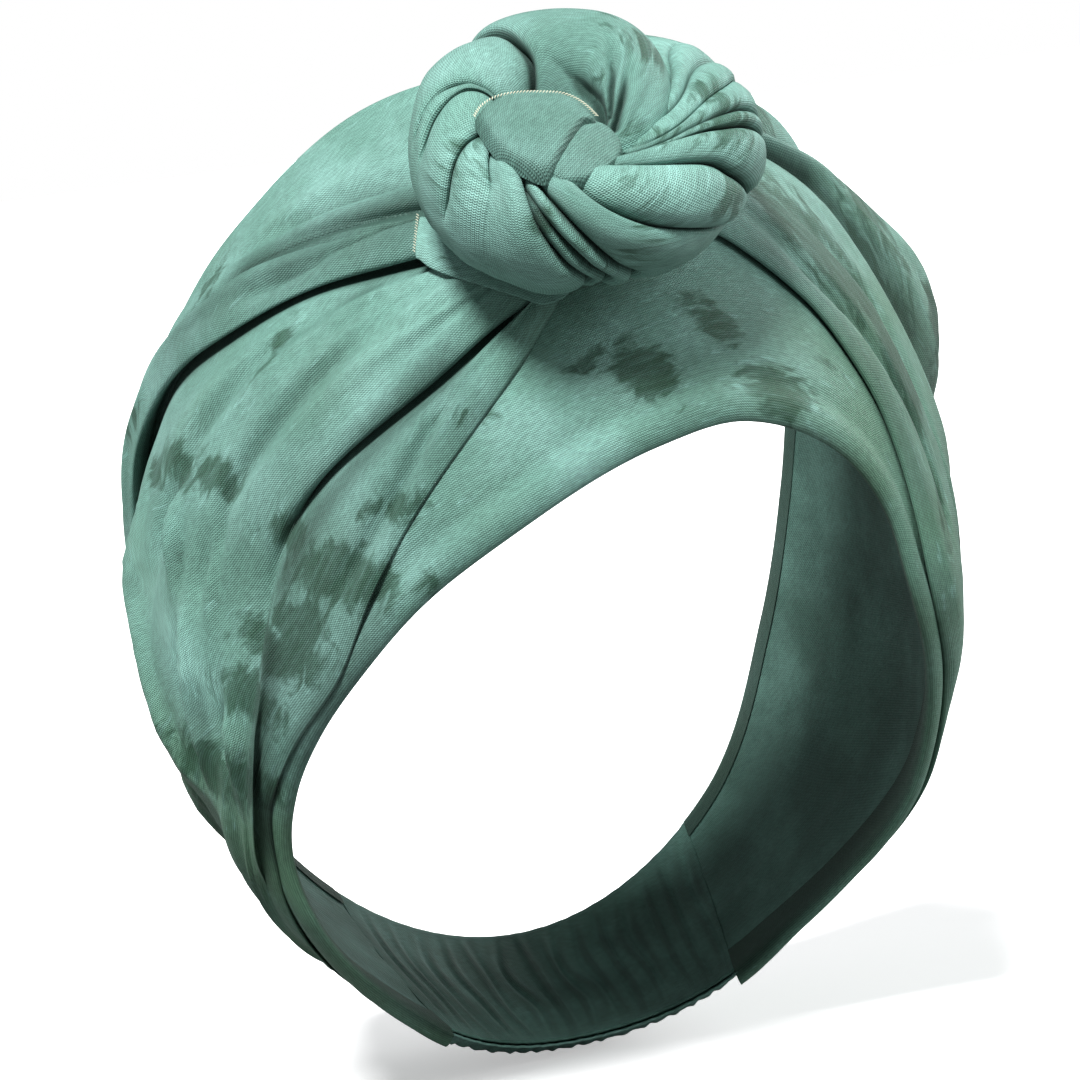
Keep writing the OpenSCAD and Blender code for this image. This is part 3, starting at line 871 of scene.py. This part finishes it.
KNOT_RISE = math.radians(48)
KNOT_OUT = np.array([0, -math.cos(KNOT_RISE), math.sin(KNOT_RISE)])
KNOT_X = np.array([1.0, 0, 0])
KNOT_Y = np.cross(KNOT_OUT, KNOT_X)
KNOT_EYE = place(0, 0, 0) + 20 * KNOT_OUT - 13 * KNOT_X - 6 * KNOT_Y


def at_knot(x, y, z):
    """The point of the frame at (x, y) in the knot's plane and z out from it."""
    x, y, z = np.broadcast_arrays(x, y, z)
    return KNOT_EYE + x[..., None] * KNOT_X + y[..., None] * KNOT_Y + z[..., None] * KNOT_OUT


# The rope's spiral: angle, distance from the eye, half width, height, half height.
ROPE = [
    (60, 33, 8, -5, 8), (46, 35, 10, -3, 10.5), (20, 33, 13, -1, 12.5),
    (0, 29.5, 14.5, 0, 12.5), (-30, 22.5, 13.4, 0, 12.5), (-60, 18, 11.2, 0, 12.5),
    (-90, 16.2, 9.9, 0, 12.5), (-135, 15.9, 9.3, 0, 12.5), (-186, 16, 9.4, 0, 12.5),
    (-225, 18, 11, 0.5, 12.5), (-254, 20.5, 13, 0.5, 12.5), (-266, 21.8, 14.2, 1.5, 13.6),
    (-285, 22.6, 14.6, 2.2, 14), (-300, 22.8, 14.4, 2.8, 14), (-314, 21.5, 14, 3.6, 14),
    (-339, 17.5, 12, 4, 13.2),
    (-364, 13.5, 9.5, 3, 12), (-385, 11, 8, 1, 10.5), (-406, 9, 6.5, -3, 8),
]
ROPE_START, ROPE_END = 60, -406
# Grooves between the rope's pleats: depth, how far one pleat laps over the other
# (above 0 the earlier over the later), where on the section the groove starts and
# ends, and its angle at each of GROOVE_AT, where 0 is the outer side and 90 the top.
# The first and the last are the rope's two ends.
GROOVE_AT = (-40, 0, 30, 60, 90, 120)
GROOVES = [
    (0.4, 0.0, -60, 190, (60, 60, 60, 60, 60, 60)),
    (1.0, 0.0, 70, 150, (36, 36, 35, 34, 30, 16)),
    (1.4, 0.0, 45, 150, (25, 24, 23, 22, 17, 2)),
    (0.9, 0.2, 20, 150, (18, 17, 16, 9, -2, -26)),
    (1.8, 0.3, 20, 150, (7, 5, 3, -2, -14, -36)),
    (2.6, 0.5, 10, 150, (2, 0, -3, -9, -20, -52)),
    (3.6, 0.9, -10, 150, (-12, -18, -23, -28, -46, -76)),
    (2.8, -0.4, -10, 150, (-20, -43, -66, -84, -95, -103)),
    (4.6, 0.7, -60, 150, (-64, -80, -92, -104, -117, -128)),
    (4.0, 0.4, -60, 150, (-76, -91, -104, -117, -129, -139)),
    (4.8, -0.8, -60, 150, (-88, -103, -113, -121, -130, -144)),
    (1.4, -0.2, 60, 120, (-134, -136, -138, -142, -156, -170)),
    (1.7, -0.4, 10, 150, (-156, -159, -163, -171, -179, -186)),
    (1.8, -0.5, 30, 150, (-176, -184, -193, -208, -226, -232)),
    (2.4, -0.7, 30, 150, (-190, -198, -207, -222, -231, -236)),
    (5.0, -1.0, 20, 190, (-256, -258, -262, -267, -272, -277)),
    (0.4, 0.0, -60, 190, (-406, -406, -406, -406, -406, -406)),
]
# Pleats that die out towards the rim, all running into the eye: depth at the deep end,
# width, and the points of the valley in the knot's plane.
VALLEYS = [
    (5.2, 1.6, [(0.5, 21), (4.8, 15.2), (7.6, 10.5), (8.4, 7), (9.2, 3.5), (9, -1)]),
    (4.4, 0.9, [(14.6, 20), (15, 14), (14.6, 10), (13.8, 6.5), (12.2, 3.2), (10.6, -1)]),
    (4.4, 1.1, [(18, 11.5), (17.4, 8.4), (16.2, 5.4), (14.6, 2.3), (12.8, -0.6), (11.4, -3)]),
    (1.0, 2.0, [(25, 15), (24.5, 10), (22, 5), (18, 0), (14, -4)]),
]


def rope_base(angle):
    """Distance from the eye, half width, height and half height of the rope."""
    table = np.array(ROPE[::-1], float)
    return [line(np.stack([table[:, 0], table[:, k]], 1))(angle) for k in range(1, 5)]


def valley_depth(x, y):
    """How deep the dying pleats are at a point of the knot's plane."""
    sink = np.zeros(x.shape)
    for depth, width, points in VALLEYS:
        far, along = near_path(x, y, points)
        sink = np.maximum(sink, depth * smooth(0.05, 0.7, along) * np.exp(-far / width))
    return sink


def grooves(around):
    """Angle, depth and lap of each groove at points round the rope's section."""
    columns, depths, laps = [], [], []
    for depth, over, start, end, angles in GROOVES:
        back = angles[0]
        points = [(-91, back), *zip(GROOVE_AT, angles)]
        points += [(190, mix(angles[-1], back, 0.4)), (271, back)]
        columns.append(line(points)(around))
        shown = smooth(start - 18, start + 14, around) * smooth(end + 22, end - 8, around)
        depths.append(depth * shown)
        laps.append(over * shown)
    return np.array(columns), np.array(depths), np.array(laps)


def over_side(far):
    """How far the upper pleat of a lap reaches over, by distance from the groove."""
    return 1.1 * far * np.exp(1 - far) - np.exp(-4 * far)


LAP_REACH = 0.9
GROOVE_REACH, SHARP_REACH, WIDE_REACH = 1.5, 0.6, 2.2


def rope_cloth(name, first, last, rows, node):
    """The rope's pleats from one groove to another, as a closed tube."""
    around = np.linspace(-90, 270, 151)[:-1]
    columns, depths, laps = grooves(around)
    pleats = range(first, last)
    pleat = np.concatenate([np.full(rows[k - first], k) for k in pleats] + [[last - 1]])
    shares = [0.5 - 0.5 * np.cos(math.pi * np.arange(rows[k - first]) / rows[k - first])
              for k in pleats]
    share = np.concatenate(shares + [[1.0]])[:, None]
    angle = mix(columns[pleat], columns[pleat + 1], share)
    distance, half_w, height, half_h = rope_base(angle)
    psi = np.radians(around)[None, :]
    reach = np.maximum(distance + half_w * np.cos(psi), 5)
    width = np.radians(np.abs(columns[pleat] - columns[pleat + 1])) * reach
    before, after = share * width, (1 - share) * width

    lap_a, lap_b = laps[pleat], laps[pleat + 1]
    depth_a = depths[pleat] * np.clip(width / 5, 0.35, 1)
    depth_b = depths[pleat + 1] * np.clip(width / 5, 0.35, 1)
    reach_a = np.where(lap_a < -0.1, SHARP_REACH, GROOVE_REACH)
    reach_b = np.where(lap_b < -0.9, WIDE_REACH, GROOVE_REACH)
    reach_b = np.where(lap_b > 0.1, SHARP_REACH, reach_b)
    sink = depth_a * np.exp(-before / reach_a) + depth_b * np.exp(-after / reach_b)
    deep = np.clip(mix(depth_a, depth_b, share) / 3, 0, 1)
    swell = 1.5 * deep * np.clip(width / 7, 0.3, 1) * (1 - (2 * share - 1) ** 2)
    uneven = 0.22 * ripple(share * 3 + pleat[:, None] * 5, around[None, :] / 40, 71)
    out = swell - sink + uneven
    flat_x, flat_y = reach * np.cos(np.radians(angle)), reach * np.sin(np.radians(angle))
    upper = smooth(20, 70, around)[None, :] * smooth(-262, -285, angle)
    out = out - valley_depth(flat_x, flat_y) * upper

    shift = np.where(lap_b > 0, lap_b * over_side(after / LAP_REACH),
                     -lap_b * np.exp(-1.6 * after))
    shift = shift - np.where(lap_a > 0, lap_a * np.exp(-1.6 * before),
                             -lap_a * over_side(before / LAP_REACH))
    angle = angle - np.degrees(shift / reach)
    to_end = np.minimum(ROPE_START - angle, angle - ROPE_END)
    ends = np.minimum(1, np.sqrt(np.clip(to_end / 12, 0.02, 1)))
    across = (half_w * ends + out) * np.cos(psi)
    up = (half_h * ends + out) * np.sin(psi)
    reach = np.maximum(distance + across, 1.5)
    a = np.radians(angle)
    points = at_knot(reach * np.cos(a), reach * np.sin(a), height + up)
    # Painted shade: darker in the grooves and near the eye, and the knot's top made darker.
    near_eye = 0.75 * smooth(13, 5, reach) * smooth(20, 60, around)[None, :]
    knot_top_darker = 0.3 * np.exp(-((angle + 285) / 40) ** 2)
    piece = cloth(name, points, JERSEY, ring=True, blotch=rope_blotch(angle, around[None, :]),
                  crease=np.maximum(smooth(0.1, 2.0, -out), np.maximum(near_eye, knot_top_darker)))
    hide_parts(node)
    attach(piece, "band")
    return piece


def rope_blotch(angle, around):
    """The print on the rope: a soft wander, and blotches of (angle, around, size)."""
    angle, around = np.broadcast_arrays(angle, around)
    value = 0.5 * ripple(angle / 22 + 30, around / 60 + 10, 81) + 0.05
    for a, p, size in ((-12, 60, 16), (-30, 20, 12), (5, 85, 10), (-330, 60, 14), (-112, 40, 9)):
        far = ((angle - a) / size) ** 2 + ((around - p) / (size * 2)) ** 2
        value = np.maximum(value, 0.75 * np.exp(-far))
    return value


def patch(name, outline, top, drop, seed):
    """A rounded piece of cloth inside a closed outline of (x, y), curling down at its rim."""
    outline = np.array(outline, float)
    closed = np.vstack([outline, outline[:1]])
    t = np.concatenate([[0], np.cumsum(np.linalg.norm(np.diff(closed, axis=0), axis=1))])
    ahead = np.vstack([closed[-3:-1], closed, closed[1:3]])
    where = np.concatenate([[t[-3] - t[-1], t[-2] - t[-1]], t, [t[-1] + t[1], t[-1] + t[2]]])
    s = np.linspace(0, t[-1], 97)[:-1]
    rim = np.stack([line(np.stack([where, ahead[:, k]], 1))(s) for k in (0, 1)], 1)
    centre = outline.mean(0)
    r = np.concatenate([np.linspace(0.002, 0.8, 18), np.linspace(0.84, 1.0, 9)])
    xy = centre + (rim - centre)[None] * r[:, None, None]
    z = top(xy[..., 0], xy[..., 1]) - drop * np.clip((r - 0.8) / 0.2, 0, 1)[:, None] ** 2.4
    z = z + 0.12 * ripple(xy[..., 0] / 4 + 20, xy[..., 1] / 4 + 20, seed)
    points = at_knot(xy[..., 0], xy[..., 1], z)
    weave = np.stack([xy[..., 0] * 0.8 + xy[..., 1] * 0.6, xy[..., 1] * 0.8 - xy[..., 0] * 0.6], -1)
    shade = 0.46 + 0.3 * smooth(0.8, 1, r)[:, None]
    return cloth(name, points, JERSEY, weave=weave + 40, ring=True, blotch=0 * z - 0.4,
                 crease=shade)


def tail_top(x, y):
    """Height of the tail's upper face out from the knot's plane."""
    return 17.5 - 0.018 * ((x + 3) ** 2 + (y + 4) ** 2)


LEAF = [
    (-14.8, 2.8), (-12.6, 5.5), (-9, 6.9), (-5.5, 6.4), (-1, 5), (3, 4), (5.8, 0.8),
    (7.6, -4.5), (4.6, -5.8), (1, -9.5), (-2.4, -13.2), (-6.5, -16.8), (-10.5, -14),
    (-13.4, -10), (-14.5, -5.8), (-14.9, -1.2),
]
LOBE = [
    (2, -2), (7, -2.8), (10.2, -4.2), (11.6, -7.5), (10.6, -11.4), (7.6, -14.6),
    (3.4, -17.2), (-1.5, -18.4), (-5.5, -17.6), (-6, -12), (-2, -6),
]
TAIL_BACK = [
    (-12, 4), (-9.6, 8.2), (-5, 9.8), (-0.6, 9.4), (3, 8), (6, 5), (8, 0.6), (8.4, -4),
    (4, -4), (-2, 0), (-8, 1),
]


def tail_stem():
    """The rolled part of the tail that runs from the leaf down into the knot's eye."""
    down = np.linspace(0, 1, 26)[:, None]
    a = np.linspace(0, 2 * math.pi, 49)[None, :-1]
    radius = mix(7.4, 3.8, smooth(0, 0.4, down))
    radius = radius * (1 + 0.1 * np.cos(5 * a + 1.6 * down) + 0.05 * np.cos(9 * a - down))
    x = radius * np.cos(a) - 2.2 * (1 - down)
    y = radius * np.sin(a) - 5.0 * (1 - down)
    z = mix(tail_top(x, y) - 1.4, -10.0, down)
    # Painted shade: darker in the stem's valleys, and half dark all over.
    folds = 0.5 + 0.4 * np.cos(5 * a + 1.6 * down + math.pi)
    return cloth("centre_tail_stem", at_knot(x, y, z), JERSEY, ring=True, blotch=0 * z - 0.4,
                 crease=folds + 0 * z)


def centre_tail():
    leaf = patch("centre_tail_leaf", LEAF, lambda x, y: tail_top(x, y) + 0.7, 2.6, 91)
    back = patch("centre_tail_back", TAIL_BACK, lambda x, y: tail_top(x, y) - 0.9, 2.4, 93)
    lobe = patch("centre_tail_lobe", LOBE, lambda x, y: tail_top(x, y) - 0.6, 3.4, 95)
    stem = tail_stem()
    for piece in (leaf, back, stem):
        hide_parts("centre_tail")
    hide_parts("centre_tail_tuck")
    for piece in (leaf, back, lobe, stem):
        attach(piece, "centre_tail")
    return leaf, back, lobe, stem


def stitch_row(name, points, out, radius, length=0.75, gap=0.62, slant=0.9):
    """A row of short slanted stitches along a line of points, on the side that out faces."""
    points = np.array(points, float)
    t = np.concatenate([[0], np.cumsum(np.linalg.norm(np.diff(points, axis=0), axis=1))])
    count = int(t[-1] / gap)
    stitches = []
    for i in range(count):
        s = (i + 0.5) * gap
        here = np.array([np.interp(s, t, points[:, k]) for k in range(3)])
        ahead = np.array([np.interp(s + 0.3, t, points[:, k]) for k in range(3)]) - here
        ahead /= np.linalg.norm(ahead) + 1e-9
        up = np.array(out, float)
        side = np.cross(up, ahead)
        way = ahead * math.cos(slant) + side * math.sin(slant)
        bow = np.linspace(-1, 1, 5)
        arch = np.outer((1 - bow**2) * 0.15, up)
        path = here + np.outer(bow * length / 2, way) + arch
        stitches.append(rod(f"{name}_{i}", path, radius, OVERLOCK, 6))
    return joined(name, stitches)


def centre_hem():
    """Overlock stitches along the upper edge of the tail's leaf."""
    path = [(-14.9, 2.6), (-12.6, 5.4), (-9, 6.8), (-5.5, 6.3), (-1, 4.9), (3, 3.9),
            (5.7, 0.8), (7.5, -4.2)]
    s = np.linspace(0, len(path) - 1, 60)
    xs, ys = (line([(i, p[k]) for i, p in enumerate(path)])(s) for k in (0, 1))
    points = at_knot(xs, ys, tail_top(xs, ys) + 0.2)
    piece = stitch_row("centre_hem_stitches", points, KNOT_OUT, 0.13)
    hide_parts("centre_tail_hem")
    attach(piece, "centre_tail")
    return piece


TAIL_EDGE = line([
    (-18.8, -0.6), (-18, -2.2), (-15, -5.6), (-11, -9.2), (-8.5, -11), (-6, -10.4), (-4, -7),
])


def lower_tail_cloth():
    """The second tail, which shows below the knot, and the stitches on its end."""
    turns = np.linspace(-18.8, -4, 60)
    low = TAIL_EDGE(turns)
    high = low + line([(-19, 4), (-17, 6), (-12, 9), (-8, 9), (-4, 5)])(turns)
    stops = [(high, 9.2, 8), (mix(low, high, 0.5), 9.8, 8), (low + 1.2, 9.8, 4),
             (low - 0.1, 9.0, 4), (low + 0.8, 8.2, 3), (low + 3, 8.0, 1)]
    rise, height, _ = section(stops)
    lean = 0.45 * np.clip(rise - low[:, None], 0, None) * smooth(-13, -18.8, turns)[:, None]
    points = place(turns[:, None] + lean, rise, height)
    piece = cloth("lower_tail_cloth", points, JERSEY, blotch=0 * rise + 0.2)
    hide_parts("lower_tail")
    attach(piece, "lower_tail")
    edge = np.linspace(0.2, 4.2, 12)
    hem_points = place(-18.9 + edge * 0.45, edge - 0.5, 9.9)
    hem = stitch_row("lower_tail_stitches", hem_points, KNOT_OUT, 0.1)
    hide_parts("lower_tail_hem")
    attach(hem, "lower_tail")
    return piece, hem


TACKS = 6
TACK_RING = 4.5
TACK_DEPTH = 14.6


def tack_stitches():
    """A ring of stitches that holds the knot down on the band."""
    pieces = []
    for i in range(TACKS):
        a = math.radians(360 / TACKS * i)
        s = np.linspace(-1.5, 1.5, 6)
        x = TACK_RING * math.cos(a) - s * math.sin(a)
        y = TACK_RING * math.sin(a) + s * math.cos(a)
        pieces.append(rod(f"tack_{i}", at_knot(x, y, -TACK_DEPTH), 0.35, OVERLOCK))
    piece = joined("tack_stitches", pieces)
    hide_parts("knot_tack_stitches")
    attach(piece, "band")
    return piece


SEAM_HEIGHT = 4.3


def casing_seam(name, turn, node):
    """Two rows of stitches where the gathers are sewn into the casing."""
    low, high = FACE_EDGE(turn) + 0.8, CROWN_EDGE(turn) - 0.8
    rises = np.linspace(low, high, 80)
    out = place(turn, (low + high) / 2, 0)
    out = out / np.linalg.norm(out)
    rows = [stitch_row(f"{name}_{k}", place(turn + k, rises, SEAM_HEIGHT), out, 0.13,
                       length=1.3, gap=2.2, slant=0.25) for k in (-0.35, 0.35)]
    piece = joined(name, rows)
    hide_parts(node)
    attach(piece, "nape")
    return piece


# ---- stage


CAMERA_VIEW = (-15.5, 6.7, -8.2)  # azimuth, elevation and roll, in degrees
CAMERA_AWAY = 0.85  # metres from the origin
# Lights: the way to each, its strength and its spread in degrees.
LIGHTS = {
    "key_light": ((-0.34, -0.54, 0.9), 7.0, 16),
    "fill_light": ((0.85, -0.5, 0.45), 1.6, 50),
    "rim_light": ((0.95, 0.35, 0.3), 1.5, 40),
}
FLOOR_REACH = 60.0  # metres
FLOOR_GAP = 0.001  # metres from the lowest point of the band down to the floor
FLOOR_SHOWN, FLOOR_GLOW, FLOOR_CAST = 0.95, 0.4, 0.16
WORLD_CAST = 0.24


def make_camera():
    a, e, r = (math.radians(v) for v in CAMERA_VIEW)
    back = np.array([math.sin(a) * math.cos(e), -math.cos(a) * math.cos(e), math.sin(e)])
    level = np.array([math.cos(a), math.sin(a), 0])
    over = np.cross(back, level)
    right = level * math.cos(r) + over * math.sin(r)
    up = over * math.cos(r) - level * math.sin(r)
    data = bpy.data.cameras.new("camera")
    data.lens = 130.3
    data.sensor_width = 36
    data.shift_x = 0.002
    data.shift_y = 0.033
    camera = in_scene("camera", data)
    rows = [(*row, 0) for row in (right, up, back)]
    camera.matrix_world = Matrix(rows + [(*(back * CAMERA_AWAY), 1)]).transposed()
    bpy.context.scene.camera = camera


def make_lights():
    """Soft lights from the directions in LIGHTS."""
    for name, (direction, strength, spread) in LIGHTS.items():
        data = bpy.data.lights.new(name, "SUN")
        data.energy = strength
        data.angle = math.radians(spread)
        light = in_scene(name, data)
        light.rotation_mode = "QUATERNION"
        light.rotation_quaternion = Vector(direction).to_track_quat("Z", "Y")


def shown_and_cast(n, shown, cast):
    """A shader that looks like one to the camera and lights the scene like the other."""
    choose = n.new("ShaderNodeMixShader")
    n.link(n.new("ShaderNodeLightPath").outputs["Is Camera Ray"], choose.inputs[0])
    n.link(cast, choose.inputs[1])
    n.link(shown, choose.inputs[2])
    return choose.outputs[0]


def paper(n, shade):
    node = n.new("ShaderNodeBsdfDiffuse")
    node.inputs["Color"].default_value = (shade, shade, shade, 1)
    return node.outputs[0]


def make_floor():
    """A pale floor that throws little light up at the band."""
    size = FLOOR_REACH
    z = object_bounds()[0].z - FLOOR_GAP
    corners = [(-size, -size, z), (size, -size, z), (size, size, z), (-size, size, z)]
    mesh = bpy.data.meshes.new("floor")
    mesh.from_pydata(corners, [], [(0, 1, 2, 3)])
    material = bpy.data.materials.new("floor")
    n = Nodes(material)
    glow = n.new("ShaderNodeEmission")
    glow.inputs["Strength"].default_value = FLOOR_GLOW
    shown = n.new("ShaderNodeAddShader")
    n.link(paper(n, FLOOR_SHOWN), shown.inputs[0])
    n.link(glow.outputs[0], shown.inputs[1])
    out = n.new("ShaderNodeOutputMaterial")
    n.link(shown_and_cast(n, shown.outputs[0], paper(n, FLOOR_CAST)), out.inputs["Surface"])
    mesh.materials.append(material)
    floor = in_scene("floor", mesh)


def make_world():
    """A white background that casts a faint cool light."""
    world = bpy.data.worlds.new("studio")
    bpy.context.scene.world = world
    n = Nodes(world)
    shown, cast = n.new("ShaderNodeBackground"), n.new("ShaderNodeBackground")
    shown.inputs["Color"].default_value = (1, 1, 1, 1)
    cast.inputs["Color"].default_value = (0.93, 0.97, 1, 1)
    cast.inputs["Strength"].default_value = WORLD_CAST
    out = n.new("ShaderNodeOutputWorld")
    n.link(shown_and_cast(n, shown.outputs[0], cast.outputs[0]), out.inputs["Surface"])


# ---- build

make_camera()

for piece in (forehead_panel(), left_pleats(), right_pleats(), inner_lining()):
    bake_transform(piece)
base = knot_base_cloth()
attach(base, "band")
rope_cloth("knot_lower_rope", 0, 12, [14, 12, 12, 14, 14, 16, 20, 26, 18, 18, 24, 18],
           "knot_lower_coil")
rope_cloth("knot_upper_rope", 12, 16, [20, 12, 30, 110], "knot_upper_coil")
centre_tail()
centre_hem()
lower_tail_cloth()
tack_stitches()
nape_layer("nape_casing_cloth", 0, 4.6, 0.55, JERSEY, "nape_casing_outer")
nape_layer("nape_casing_lining", 0.5, 0.9, 0.3, LINING_WITH_SHADE, "nape_casing_inner")
nape_layer("nape_elastic_strip", 2.5, 2.7, 0.12, RIBBED, "nape_elastic")
casing_seam("left_seam_stitches", -CASING_TURN, "left_casing_seam")
casing_seam("right_seam_stitches", CASING_TURN, "right_casing_seam")

make_floor()
make_world()
make_lights()
bpy.context.scene.view_settings.view_transform = "Standard"
